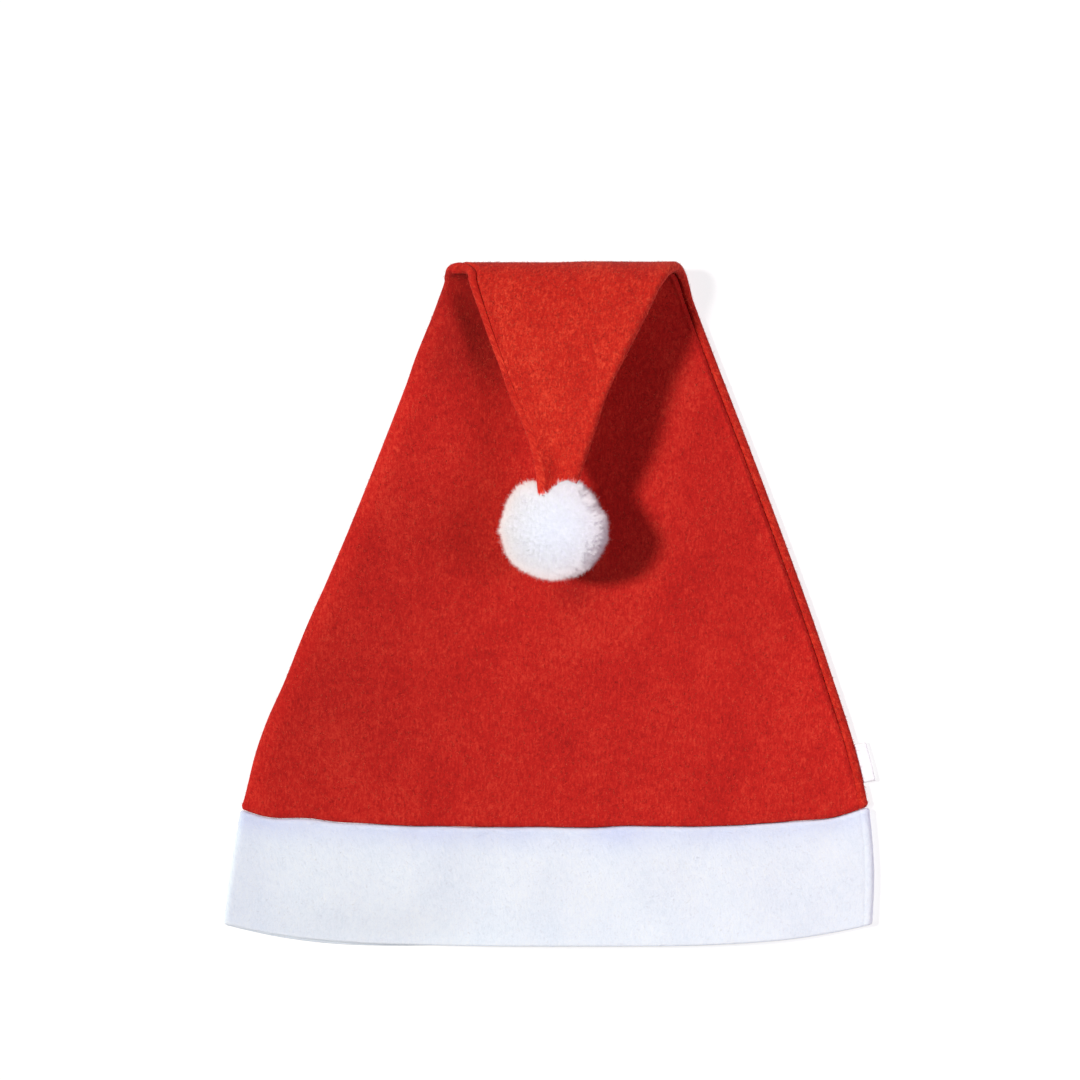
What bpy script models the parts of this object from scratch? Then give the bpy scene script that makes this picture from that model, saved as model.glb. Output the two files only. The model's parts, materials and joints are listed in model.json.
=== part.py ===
"""Santa hat of red felt with a white band and a pompom, lying flat with its tip folded forward.

Lengths are in metres. The rim faces -Y and the fold +Y, +X is to the right of someone who looks
at the front, and +Z is up. The hat lies on its back panel, whose underside is the plane Z = 0.
"""

import math
from bisect import bisect_right
from collections import namedtuple

import bmesh
import bpy
from mathutils import Vector

MM = 0.001

# Felt
CROWN_FELT = 1.5 * MM
BAND_FELT = 2.0 * MM
EDGE_ROLL = 1.6 * MM            # radius in which the felt turns over at both long edges
EDGE_INSET = EDGE_ROLL + CROWN_FELT / 2
CUT_ROUNDING = 0.35 * MM        # how far the cut edges of the felt are rounded off

# Seams. The felt on both sides stops short of the seam line and dips into its groove.
SEAM_FROM_ROLL = 1.6 * MM
SEAM_HALF_GAP = 0.45 * MM
SEAM_DIP = 0.5 * MM
SEAM_REACH = 1.6 * MM           # width over which the felt bends down to the seam
SEAM_LEAST_FROM_ROLL = 1.1 * MM
SEAM_FULL_WIDTH = 8.0 * MM      # half width of the hat under which a seam is drawn in
BACK_RIM_SHOWS = 1.3 * MM       # how far the back of the rim lies below the front at the left

# Fold of the tip, a relaxed loop that is tight on the left and wide on the right
FOLD_Y = 148.3 * MM             # outermost line of the fold, in the middle of the back felt
FOLD_RADIUS_LEFT = 8.0 * MM
FOLD_RADIUS_RIGHT = 15.0 * MM
FOLD_STEPS = 8
FOLD_CORNER = 2.4 * MM          # how far both ends of the fold stand out at its outermost line
EDGE_TAPER = 0.375              # how far each long edge leans in for each metre of length
FOLD_AIR = 2.0 * MM

# Pompom
POMPOM_CENTRE = Vector((1.7, 31.6, 31.8)) * MM
POMPOM_RADII = Vector((23.4, 22.3, 23.0)) * MM
POMPOM_TUFTS = 300
TUFT_DEPTH = 2.4 * MM
TUFT_UNEVENNESS = 0.9 * MM
POMPOM_FOOT = 9.85 * MM         # the pompom rests on the front panel and is flat up to this height
SOCKET_CLEARANCE = 0.4 * MM
SOCKET_DEPTH = 16.0 * MM

# Side label, a bare ribbon folded in two
LABEL_LENGTH = 17.0 * MM
LABEL_WIDTH = 5.2 * MM
LABEL_RIBBON = 0.4 * MM
LABEL_FOLD_RADIUS = 0.35 * MM
LABEL_GAP = 0.3 * MM
LABEL_FROM_RIM = 70.5 * MM

# Where the body lies flat. y is the height of a section's ends and bow how far its middle hangs
# below them. air is the height between the panels that the rolls of the edges don't account for.
Section = namedtuple("Section", "name y left right bow air")
BODY = [
    Section("rim", -141.5, -142.6, 141.9, 8.6, 5.8),
    Section("band middle", -117.5, -139.9, 142.6, 8.3, 5.7),
    Section("band top", -90.2, -134.8, 140.2, 7.6, 5.4),
    Section("label", -64.7, -128.0, 134.6, 6.6, 5.2),
    Section("low body", -38.3, -117.5, 126.3, 5.4, 5.0),
    Section("middle body", -3.1, -103.0, 114.4, 4.0, 4.8),
    Section("under pompom", 32.1, -88.0, 101.6, 2.6, 4.6),
    Section("under tip", 67.3, -73.9, 88.4, 1.4, 4.2),
    Section("high body", 102.5, -60.3, 74.8, 0.5, 3.2),
]
BAND_ROWS = 2                   # sections from the rim to the top of the band

# The folded tip, from the end of the fold to the pompom. Its two edges lie at different heights,
# and pleat is how far its middle sinks between them.
Tip = namedtuple("Tip", "name left_x left_y left_z right_x right_y right_z air pleat")
TIP = [
    Tip("start", -29.5, 122.0, 19.5, 37.0, 117.0, 34.5, 1.0, 0.0),
    Tip("upper", -19.3, 94.0, 26.0, 25.2, 91.5, 39.5, 1.0, 0.3),
    Tip("lower", -10.2, 72.5, 33.0, 18.0, 71.5, 41.5, 0.8, 1.2),
    Tip("neck", -6.0, 56.5, 39.5, 13.4, 56.0, 41.0, 0.5, 1.2),
    Tip("end", -4.8, 47.0, 43.5, 9.0, 46.5, 42.5, 0.3, 0.2),
]

# Columns between a roll and the far seam, as shares of that width, closer together near the ends
SHEET_SHARES = (0.035, 0.1, 0.22, 0.36, 0.5, 0.64, 0.78, 0.9)
ROLL_ANGLES = (0, 45, 90, 135, 180)

Row = namedtuple("Row", "left right bow air pleat")


def clear_scene():
    for item in list(bpy.data.objects):
        bpy.data.objects.remove(item, do_unlink=True)


def body_rows():
    """Rows of the back sheet where it lies on the surface."""
    height = CROWN_FELT / 2
    rows = []
    for section in BODY:
        left = Vector((section.left * MM + EDGE_INSET, section.y * MM, height))
        right = Vector((section.right * MM - EDGE_INSET, section.y * MM, height))
        rows.append(Row(left, right, section.bow * MM, section.air * MM, 0.0))
    return rows


def fold_rows(last_body_row):
    """Rows round the fold: both edges turn through the same angle, each with its own radius."""
    rows = []
    for step in range(FOLD_STEPS + 1):
        angle = math.pi * step / FOLD_STEPS
        ends = []
        for end, radius, lean in (
            (last_body_row.left, FOLD_RADIUS_LEFT, EDGE_TAPER),
            (last_body_row.right, FOLD_RADIUS_RIGHT, -EDGE_TAPER),
        ):
            straight = FOLD_Y - radius - end.y
            x = end.x + lean * (straight + radius * angle)
            x -= math.copysign(FOLD_CORNER, lean) * math.sin(angle)
            y = FOLD_Y - radius + radius * math.sin(angle)
            z = end.z + radius * (1 - math.cos(angle))
            ends.append(Vector((x, y, z)))
        air = FOLD_AIR * (1 - 0.5 * step / FOLD_STEPS)
        rows.append(Row(ends[0], ends[1], 0.0, air, 0.0))
    return rows


def tip_rows():
    """Rows of the folded tip, which lies face down over the body."""
    rows = []
    for tip in TIP:
        left = Vector((tip.left_x * MM + EDGE_INSET, tip.left_y * MM, tip.left_z * MM))
        right = Vector((tip.right_x * MM - EDGE_INSET, tip.right_y * MM, tip.right_z * MM))
        rows.append(Row(left, right, 0.0, tip.air * MM, tip.pleat * MM))
    return rows


def all_rows():
    rows = body_rows()
    rows += fold_rows(rows[-1])
    return rows + tip_rows()


def row_distances(rows):
    """Distance of each row from the rim, measured along the middle of the hat."""
    distances = [0.0]
    for before, after in zip(rows, rows[1:]):
        step = ((after.left + after.right) - (before.left + before.right)).length / 2
        distances.append(distances[-1] + step)
    return distances


ROWS = all_rows()
DISTANCES = row_distances(ROWS)
BAND_TOP = DISTANCES[BAND_ROWS]
FOLD_START = DISTANCES[len(BODY)]
FOLD_END = DISTANCES[len(BODY) + FOLD_STEPS]
TIP_END = DISTANCES[-1]


def slope_at(index, values):
    """Slope of a smooth curve through the values at one row."""
    low = max(index - 1, 0)
    high = min(index + 1, len(values) - 1)
    return (values[high] - values[low]) / (DISTANCES[high] - DISTANCES[low])


def along(values, distance):
    """Value at a distance from the rim, on a smooth curve through the rows."""
    index = min(max(bisect_right(DISTANCES, distance) - 1, 0), len(DISTANCES) - 2)
    span = DISTANCES[index + 1] - DISTANCES[index]
    share = (distance - DISTANCES[index]) / span
    square, cube = share**2, share**3
    return (
        values[index] * (2 * cube - 3 * square + 1)
        + slope_at(index, values) * span * (cube - 2 * square + share)
        + values[index + 1] * (3 * square - 2 * cube)
        + slope_at(index + 1, values) * span * (cube - square)
    )


def row_at(distance):
    return Row(*(along([row[field] for row in ROWS], distance) for field in range(len(Row._fields))))


def back_middle(distance, across):
    """Middle of the back felt. across runs from -1 at the left roll to 1 at the right one."""
    row = row_at(distance)
    point = row.left.lerp(row.right, (across + 1) / 2)
    point.y -= row.bow * (1 - across**4)
    point.z -= row.pleat * math.cos(across * math.pi / 2) ** 2
    point.z = max(point.z, CROWN_FELT / 2)
    return point


def sheet_directions(distance, across):
    """Unit vectors across the sheet and from the back sheet towards the front one."""
    step = 0.5 * MM
    share = 0.01
    sideways = back_middle(distance, across + share) - back_middle(distance, across - share)
    lengthways = back_middle(distance + step, across) - back_middle(distance - step, across)
    return sideways.normalized(), sideways.cross(lengthways).normalized()


def back_sheet(distance, across):
    """A point in the middle of the back felt, and the direction to the inside of the hat."""
    return back_middle(distance, across), sheet_directions(distance, across)[1]


def front_sheet(distance, across):
    """The same on the front felt, which arches over the air in the hat."""
    air = row_at(distance).air * (1 - across**4) ** 2
    towards_front = sheet_directions(distance, across)[1]
    return back_middle(distance, across) + towards_front * (2 * EDGE_ROLL + air), -towards_front


def rolled_edge(distance, side, degrees):
    """The same round one long edge, from the back sheet at 0 degrees to the front one at 180."""
    sideways, towards_front = sheet_directions(distance, side)
    centre = back_middle(distance, side) + towards_front * EDGE_ROLL
    turn = math.radians(degrees)
    outward = sideways * side * math.sin(turn) - towards_front * math.cos(turn)
    return centre + outward * EDGE_ROLL, -outward


def sunk(place, depth):
    """A place on the felt, moved towards the inside of the hat."""
    point, inward = place
    return point + inward * depth, inward


def half_width(distance):
    row = row_at(distance)
    return (row.right - row.left).length / 2


def seam_scale(distance):
    """1 where the hat is wide, and less near the tip, where the seams are drawn in."""
    return min(1.0, half_width(distance) / SEAM_FULL_WIDTH)


def seam_line(distance):
    return max(SEAM_FROM_ROLL * seam_scale(distance), SEAM_LEAST_FROM_ROLL)


def from_roll(distance, side, offset):
    """across at a real distance in from one roll."""
    return side * (1 - offset / half_width(distance))


def panel_row(distance, side):
    """Places across a panel, from its first seam to its last.

    The front panel (side -1) starts on the back at the left, turns round the left roll and ends
    on the front at the right. The back panel (side 1) is the same, turned half round.
    """
    if side < 0:
        near, far, angles = back_sheet, front_sheet, ROLL_ANGLES
    else:
        near, far, angles = front_sheet, back_sheet, ROLL_ANGLES[::-1]
    scale = seam_scale(distance)
    seam = seam_line(distance)
    flat_end = from_roll(distance, -side, seam + SEAM_HALF_GAP + SEAM_REACH * scale)
    places = [sunk(near(distance, from_roll(distance, side, seam - SEAM_HALF_GAP)), SEAM_DIP * scale)]
    places += [rolled_edge(distance, side, angle) for angle in angles]
    places += [far(distance, side + (flat_end - side) * share) for share in SHEET_SHARES]
    places.append(far(distance, flat_end))
    seam_end = from_roll(distance, -side, seam + SEAM_HALF_GAP)
    places.append(sunk(far(distance, seam_end), SEAM_DIP * scale))
    return places


def ring_row(distance, seam_dip=0.0):
    """Places all the way round the hat, starting on the back at the left. With seam_dip the ring
    is drawn in along its own side seam, on the front at the right."""
    places = [back_sheet(distance, 2 * share - 1) for share in SHEET_SHARES]
    places += [rolled_edge(distance, 1, angle) for angle in ROLL_ANGLES]
    if seam_dip:
        seam = seam_line(distance)
        places.append(sunk(front_sheet(distance, from_roll(distance, 1, seam)), seam_dip))
        places.append(front_sheet(distance, from_roll(distance, 1, seam + SEAM_REACH)))
    places += [front_sheet(distance, 1 - 2 * share) for share in SHEET_SHARES]
    places += [rolled_edge(distance, -1, angle) for angle in ROLL_ANGLES[::-1]]
    return places


def steps_between(start, end, count):
    """count evenly spaced values from start, leaving end out."""
    return [start + (end - start) * step / count for step in range(count)]


def new_object(name, mesh_data, material, collection):
    mesh = bpy.data.meshes.new(name)
    mesh_data.to_mesh(mesh)
    mesh_data.free()
    mesh.shade_smooth()
    mesh.set_sharp_from_angle(angle=math.radians(50))
    mesh.materials.append(material)
    item = bpy.data.objects.new(name, mesh)
    collection.objects.link(item)
    return item


def grid_mesh(grid, ring=False, caps=False):
    """Surface through a grid of points. With ring each row closes on itself, and with caps the
    first and last rows are filled."""
    mesh_data = bmesh.new()
    verts = [[mesh_data.verts.new(point) for point in row] for row in grid]
    width = len(grid[0])
    for lower, upper in zip(verts, verts[1:]):
        for column in range(width if ring else width - 1):
            following = (column + 1) % width
            mesh_data.faces.new((lower[column], lower[following], upper[following], upper[column]))
    if caps:
        mesh_data.faces.new(verts[0])
        mesh_data.faces.new(verts[-1])
    bmesh.ops.recalc_face_normals(mesh_data, faces=mesh_data.faces)
    return mesh_data


def add_felt(item, thickness, rounded=True):
    """Gives an open surface its thickness, half to each side, and softens its cut edges."""
    solidify = item.modifiers.new("felt", "SOLIDIFY")
    solidify.thickness = thickness
    solidify.offset = 0.0
    if rounded:
        bevel = item.modifiers.new("cut edges", "BEVEL")
        bevel.width = CUT_ROUNDING
        bevel.segments = 1
        bevel.limit_method = "ANGLE"
        bevel.angle_limit = math.radians(65)


def make_panel(name, side, material, collection):
    """One of the two felt panels of the crown. Its hem dips into the seam with the band."""
    hem = BAND_TOP + SEAM_HALF_GAP
    distances = (
        [hem, hem + SEAM_REACH]
        + steps_between(hem + 12 * MM, FOLD_START, 8)
        + steps_between(FOLD_START, FOLD_END, 9)
        + steps_between(FOLD_END, TIP_END, 9)
        + [TIP_END]
    )
    rows = [panel_row(distance, side) for distance in distances]
    rows[0] = [sunk(place, SEAM_DIP) for place in rows[0]]
    grid = [[point for point, inward in row] for row in rows]
    panel = new_object(name, grid_mesh(grid), material, collection)
    add_felt(panel, CROWN_FELT)


def make_band(material, collection):
    """The white band: one ring of thicker felt, from the rim to the seam with the crown."""
    hem = BAND_TOP - SEAM_HALF_GAP
    distances = steps_between(0.0, hem - SEAM_REACH, 4) + [hem - SEAM_REACH, hem]
    rows = [ring_row(distance, SEAM_DIP) for distance in distances]
    rows[-1] = [sunk(place, SEAM_DIP) for place in rows[-1]]
    for (point, inward), share in zip(rows[0], SHEET_SHARES):
        point.y -= BACK_RIM_SHOWS * (1 - share)
    lift = Vector((0, 0, (BAND_FELT - CROWN_FELT) / 2))
    grid = [[point + lift for point, inward in row] for row in rows]
    band = new_object("band", grid_mesh(grid, ring=True), material, collection)
    add_felt(band, BAND_FELT)


def tuft_ball():
    """A ball of tufts: the corners of a hull through evenly spread points, with pits between."""
    mesh_data = bmesh.new()
    golden_turn = math.pi * (3 - math.sqrt(5))
    for tuft in range(POMPOM_TUFTS):
        height = 1 - (2 * tuft + 1) / POMPOM_TUFTS
        ring = math.sqrt(1 - height**2)
        turn = golden_turn * tuft
        direction = Vector((ring * math.cos(turn), ring * math.sin(turn), height))
        uneven = math.sin(tuft * 7.3) * math.cos(tuft * 3.1) * TUFT_UNEVENNESS
        mesh_data.verts.new(direction * POMPOM_RADII + direction * uneven)
    bmesh.ops.convex_hull(mesh_data, input=mesh_data.verts)
    bmesh.ops.poke(mesh_data, faces=mesh_data.faces, offset=-TUFT_DEPTH)
    bmesh.ops.translate(mesh_data, verts=mesh_data.verts, vec=POMPOM_CENTRE)
    return mesh_data


def socket_cutter(collection):
    """The end of the crown's tip, grown by the clearance, which the pompom closes round."""
    grow = CROWN_FELT / 2 + SOCKET_CLEARANCE
    distances = steps_between(TIP_END - SOCKET_DEPTH, TIP_END, 5) + [TIP_END, TIP_END + grow]
    grid = [[sunk(place, -grow)[0] for place in ring_row(distance)] for distance in distances]
    cutter = new_object("socket_cutter", grid_mesh(grid, ring=True, caps=True), None, collection)
    cutter.hide_render = True
    cutter.display_type = "WIRE"
    return cutter


def make_pompom(material, collection, cutters):
    """The pompom, with its underside pressed flat and a socket for the tip of the crown."""
    ball = tuft_ball()
    for vert in ball.verts:
        vert.co.z = max(vert.co.z, POMPOM_FOOT)
    pompom = new_object("pompom", ball, material, collection)
    cut = pompom.modifiers.new("socket", "BOOLEAN")
    cut.operation = "DIFFERENCE"
    cut.solver = "EXACT"
    cut.object = socket_cutter(cutters)


def make_label(material, collection):
    """A bare ribbon folded in two, held at the right edge a little above the band."""
    start = LABEL_FROM_RIM - LABEL_LENGTH / 2
    grid = []
    for distance in (start, start + LABEL_LENGTH):
        edge, inward = rolled_edge(distance, 1, 90)
        outward = -inward
        up = Vector((0, 0, 1))
        root = edge + outward * (CROWN_FELT / 2 + LABEL_GAP)
        fold_centre = root + outward * (LABEL_WIDTH - LABEL_FOLD_RADIUS - LABEL_RIBBON / 2)
        row = [root + up * LABEL_FOLD_RADIUS]
        for degrees in range(90, -91, -30):
            turn = math.radians(degrees)
            offset = outward * math.cos(turn) + up * math.sin(turn)
            row.append(fold_centre + offset * LABEL_FOLD_RADIUS)
        row.append(root - up * LABEL_FOLD_RADIUS)
        grid.append(row)
    label = new_object("side_label", grid_mesh(grid), material, collection)
    add_felt(label, LABEL_RIBBON, rounded=False)


def make_material(name, colour, roughness):
    material = bpy.data.materials.new(name)
    material.use_nodes = True
    shader = material.node_tree.nodes["Principled BSDF"]
    shader.inputs["Base Color"].default_value = (*colour, 1.0)
    shader.inputs["Roughness"].default_value = roughness
    shader.inputs["Metallic"].default_value = 0.0
    return material


def main():
    clear_scene()
    hat = bpy.data.collections.new("santa_hat")
    cutters = bpy.data.collections.new("cutters")
    bpy.context.scene.collection.children.link(hat)
    bpy.context.scene.collection.children.link(cutters)
    red_felt = make_material("red_felt", (0.50, 0.020, 0.017), 0.95)
    white_felt = make_material("white_felt", (0.82, 0.84, 0.92), 0.95)
    white_fluff = make_material("white_fluff", (0.86, 0.87, 0.92), 1.0)
    white_ribbon = make_material("white_ribbon", (0.88, 0.88, 0.87), 0.5)
    make_panel("crown_front", -1, red_felt, hat)
    make_panel("crown_back", 1, red_felt, hat)
    make_band(white_felt, hat)
    make_pompom(white_fluff, hat, cutters)
    make_label(white_ribbon, hat)


main()
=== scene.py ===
# %% [markdown]
# # A felt Santa hat, lying flat
# The hat is two panels of red felt sewn along their long edges, a band of white felt round the
# rim, and a pompom on a tip that is folded forward. Here the measured CAD model is loaded as a
# fixed frame, and each of its pieces is then dressed: the felt gets its rounded seams, its ripples
# and its loose fibres, and the pompom gets its pile. The frame sets every place and every size.

# %% Load the frame
import json
import math

import bpy
import numpy as np
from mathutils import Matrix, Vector
from mathutils.bvhtree import BVHTree

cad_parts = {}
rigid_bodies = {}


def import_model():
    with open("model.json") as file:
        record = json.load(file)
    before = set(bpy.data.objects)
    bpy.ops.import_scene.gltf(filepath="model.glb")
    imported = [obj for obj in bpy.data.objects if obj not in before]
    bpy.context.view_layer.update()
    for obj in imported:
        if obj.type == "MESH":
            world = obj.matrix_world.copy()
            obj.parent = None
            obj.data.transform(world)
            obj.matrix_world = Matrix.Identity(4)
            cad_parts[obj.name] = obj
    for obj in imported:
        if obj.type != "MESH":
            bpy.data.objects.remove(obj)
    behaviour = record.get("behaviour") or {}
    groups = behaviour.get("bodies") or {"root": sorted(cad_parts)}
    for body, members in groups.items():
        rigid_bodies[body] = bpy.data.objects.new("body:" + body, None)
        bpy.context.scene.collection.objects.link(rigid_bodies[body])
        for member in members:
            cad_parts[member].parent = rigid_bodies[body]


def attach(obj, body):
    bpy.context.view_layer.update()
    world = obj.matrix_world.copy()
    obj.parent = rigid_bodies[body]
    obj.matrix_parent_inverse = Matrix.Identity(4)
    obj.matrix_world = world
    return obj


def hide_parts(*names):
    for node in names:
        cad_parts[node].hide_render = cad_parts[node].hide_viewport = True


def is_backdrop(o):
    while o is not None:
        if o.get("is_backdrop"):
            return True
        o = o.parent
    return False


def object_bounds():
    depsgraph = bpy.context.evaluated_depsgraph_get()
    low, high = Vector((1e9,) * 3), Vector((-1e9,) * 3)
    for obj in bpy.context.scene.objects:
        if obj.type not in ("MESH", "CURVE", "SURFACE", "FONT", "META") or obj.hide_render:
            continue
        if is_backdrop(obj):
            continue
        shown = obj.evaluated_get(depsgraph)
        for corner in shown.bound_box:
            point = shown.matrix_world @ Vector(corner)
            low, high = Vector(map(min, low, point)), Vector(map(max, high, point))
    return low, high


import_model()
cad_low, cad_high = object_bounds()
MM = 0.001
print("The frame measures, in mm:", [round(side / MM, 1) for side in cad_high - cad_low])

# %% [markdown]
# ## The camera
# The picture was taken straight from above, with a long lens. The lens is worked out from the
# width of the table that the frame shows, so the hat comes out at its true scale.

# %% Camera
def add_object(name, data):
    """A new object in the scene, with a mesh, a lamp or a camera as its data."""
    item = bpy.data.objects.new(name, data)
    bpy.context.scene.collection.objects.link(item)
    return item


CAMERA_HEIGHT = 1600 * MM
VIEW_WIDTH = 475.2 * MM
VIEW_CENTRE = (-4.0 * MM, 27.7 * MM)

camera_data = bpy.data.cameras.new("overhead_camera")
camera_data.lens = camera_data.sensor_width * CAMERA_HEIGHT / VIEW_WIDTH
camera = add_object("overhead_camera", camera_data)
camera.location = (*VIEW_CENTRE, CAMERA_HEIGHT)
bpy.context.scene.camera = camera
print("Lens:", round(camera_data.lens, 1), "mm")

# %% [markdown]
# ## Colours and nodes
# Colours are noted as a painter reads them from a screen, as sRGB hex values. Blender's shaders
# work with linear light, so one function turns the first into the second. Another small function
# adds a node to a material, with its settings and links in one line.

# %% Helpers for colours and nodes
def linear(hex_colour):
    """The linear colour of an sRGB hex value such as #C8102E, with its alpha."""
    parts = [int(hex_colour[at:at + 2], 16) / 255 for at in (1, 3, 5)]
    return (*((p / 12.92 if p <= 0.04045 else ((p + 0.055) / 1.055) ** 2.4) for p in parts), 1.0)


def add_node(tree, kind, settings=None, **sockets):
    """Adds a shader node. A socket is named by its first words, with _ for a space, and takes
    either a value or another node's output."""
    node = tree.nodes.new("ShaderNode" + kind)
    for name, value in (settings or {}).items():
        setattr(node, name, value)
    for name, value in sockets.items():
        name = name.replace("_", " ").strip()
        socket = node.inputs[int(name)] if name.isdigit() else node.inputs[name]
        if isinstance(value, bpy.types.NodeSocket):
            tree.links.new(value, socket)
        else:
            socket.default_value = value
    return node


def new_material(name):
    """A material without nodes, and its node tree."""
    material = bpy.data.materials.new(name)
    material.use_nodes = True
    material.node_tree.nodes.clear()
    return material, material.node_tree


# %% [markdown]
# ## The studio
# The hat lies on a lit white table, as small goods do in a catalogue, so shadows on the table stay
# pale. One large lamp stands far off at the left, a little towards the fold and about 50 degrees
# up. It is feathered: it points past the hat, so the near side doesn't get more light than the far
# one. A wide soft panel at the right and a white room fill the shadows to about a third of the
# full light.

# %% Table and lights
table_material, tree = new_material("lit_white_acrylic_table")
shader = add_node(tree, "BsdfPrincipled", Base_Color=linear("#959595"), Roughness=0.7,
                  Emission_Color=linear("#FFFFFF"), Emission_Strength=0.78)
add_node(tree, "OutputMaterial", Surface=shader.outputs[0])

bpy.ops.mesh.primitive_plane_add(size=6.0, location=(0, 0, -0.0002))
table = bpy.context.object
table.name = "table"
table.data.materials.append(table_material)
table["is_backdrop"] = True


def add_lamp(name, kind, turn, up, distance, aim, watts, colour, **settings):
    """A lamp in the direction of turn, from +X, and up, in degrees, that points at aim."""
    turn, up = math.radians(turn), math.radians(up)
    towards = Vector((math.cos(up) * math.cos(turn), math.cos(up) * math.sin(turn), math.sin(up)))
    data = bpy.data.lights.new(name, kind)
    data.energy, data.color = watts, linear(colour)[:3]
    for setting, value in settings.items():
        setattr(data, setting, value)
    lamp = add_object(name, data)
    lamp.location = towards * distance
    lamp.rotation_euler = (Vector(aim) - lamp.location).to_track_quat("-Z", "Y").to_euler()


add_lamp("left_lamp", "SPOT", 168, 49.5, 6.0, (0.59, -0.06, 0), 1690, "#FFFDFA",
         shadow_soft_size=0.50, spot_size=math.radians(24), spot_blend=1.0)
add_lamp("right_panel", "AREA", 2, 44, 1.5, (0.05, 0.02, 0), 9.6, "#F4E0F4", shape="DISK", size=0.7)

world = bpy.data.worlds.new("white_room")
world.use_nodes = True
world.node_tree.nodes["Background"].inputs["Color"].default_value = linear("#F4F6FF")
world.node_tree.nodes["Background"].inputs["Strength"].default_value = 0.05
bpy.context.scene.world = world
bpy.context.scene.view_settings.view_transform = "Standard"

# %% [markdown]
# ## The shape of the hat as curves
# A hat that lies flat is a stack of cross-sections from the rim to the tip. Each one has a left and
# a right edge, a bow, and some air between its two layers. The table below holds the sections that
# were measured, and a smooth curve through them gives every section in between. Nearly the same
# numbers made the CAD model, so the dressed felt lies where the frame has it. Only the left end of
# the fold is drawn in further here, and the middle of the tip sinks a little more.

# %% Sections of the body
CROWN_FELT = 1.5 * MM
BAND_FELT = 2.0 * MM
EDGE_ROLL = 1.6 * MM            # radius in which the felt turns over at both long edges
EDGE_INSET = EDGE_ROLL + CROWN_FELT / 2
BAND_ROWS = 2                   # sections from the rim to the top of the band

# y, left and right edge, how far the middle hangs below the ends, height of the air inside, in mm
BODY = (
    (-141.5, -142.6, 141.9, 8.6, 5.8),
    (-117.5, -139.9, 142.6, 8.3, 5.7),
    (-90.2, -134.8, 140.2, 7.6, 5.4),
    (-64.7, -128.0, 134.6, 6.6, 5.2),
    (-38.3, -117.5, 126.3, 5.4, 5.0),
    (-3.1, -103.0, 114.4, 4.0, 4.8),
    (32.1, -88.0, 101.6, 2.6, 4.6),
    (67.3, -73.9, 88.4, 1.4, 4.2),
    (102.5, -60.3, 74.8, 0.5, 3.2),
)
body_rows = [
    (left * MM + EDGE_INSET, y * MM, CROWN_FELT / 2, right * MM - EDGE_INSET, y * MM,
     CROWN_FELT / 2, bow * MM, air * MM, 0.0)
    for y, left, right, bow, air in BODY
]

# %% Sections of the fold and of the tip
FOLD_Y = 148.3 * MM
FOLD_RADII = (8.0 * MM, 15.0 * MM)      # tight at the left, wide at the right
FOLD_STEPS = 8
FOLD_CORNER = 2.4 * MM                  # how far both ends of the fold stand out
CORNER_CREASE = 4.2 * MM                # how far the fold draws its left edge in
CREASE_FROM = math.pi / 3               # how far round the fold that begins
EDGE_TAPER = 0.375
FOLD_AIR = 2.0 * MM

fold_rows = []
for step in range(FOLD_STEPS + 1):
    turn = math.pi * step / FOLD_STEPS
    row = []
    for edge, radius, lean in zip((0, 3), FOLD_RADII, (EDGE_TAPER, -EDGE_TAPER)):
        x, y, z = body_rows[-1][edge:edge + 3]
        creased = CORNER_CREASE * math.sin(1.2 * max(0.0, turn - CREASE_FROM)) ** 2 * (lean > 0)
        row += [
            x + lean * (FOLD_Y - radius - y + radius * turn)
            - math.copysign(FOLD_CORNER, lean) * math.sin(turn) + creased,
            FOLD_Y - radius + radius * math.sin(turn),
            z + radius * (1 - math.cos(turn)),
        ]
    fold_rows.append((*row, 0.0, FOLD_AIR * (1 - 0.5 * step / FOLD_STEPS), 0.0))

# left x, y, z, right x, y, z, air, and how far the middle sinks between the edges, in mm
TIP = (
    (-29.5, 122.0, 19.5, 37.0, 117.0, 34.5, 1.0, 0.0),
    (-19.3, 94.0, 26.0, 25.2, 91.5, 39.5, 1.0, 0.3),
    (-10.2, 72.5, 33.0, 18.0, 71.5, 41.5, 0.8, 1.9),
    (-6.0, 56.5, 39.5, 13.4, 56.0, 41.0, 0.5, 2.4),
    (-4.8, 47.0, 43.5, 9.0, 46.5, 42.5, 0.3, 1.0),
)
tip_rows = [
    (x0 * MM + EDGE_INSET, y0 * MM, z0 * MM, x1 * MM - EDGE_INSET, y1 * MM, z1 * MM, 0.0,
     air * MM, pleat * MM)
    for x0, y0, z0, x1, y1, z1, air, pleat in TIP
]
ROWS = np.array(body_rows + fold_rows + tip_rows)

# %% A smooth curve through the sections
ends = ROWS[:, 0:3] + ROWS[:, 3:6]
FROM_RIM = np.concatenate([[0.0], np.cumsum(np.linalg.norm(np.diff(ends, axis=0), axis=1) / 2)])
row_numbers = np.arange(len(ROWS))
before = np.maximum(row_numbers - 1, 0)
after = np.minimum(row_numbers + 1, len(ROWS) - 1)
SLOPES = (ROWS[after] - ROWS[before]) / (FROM_RIM[after] - FROM_RIM[before])[:, None]
BAND_TOP = FROM_RIM[BAND_ROWS]
FOLD_START = FROM_RIM[len(BODY)]
FOLD_END = FROM_RIM[len(BODY) + FOLD_STEPS]
TIP_END = FROM_RIM[-1]


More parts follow.
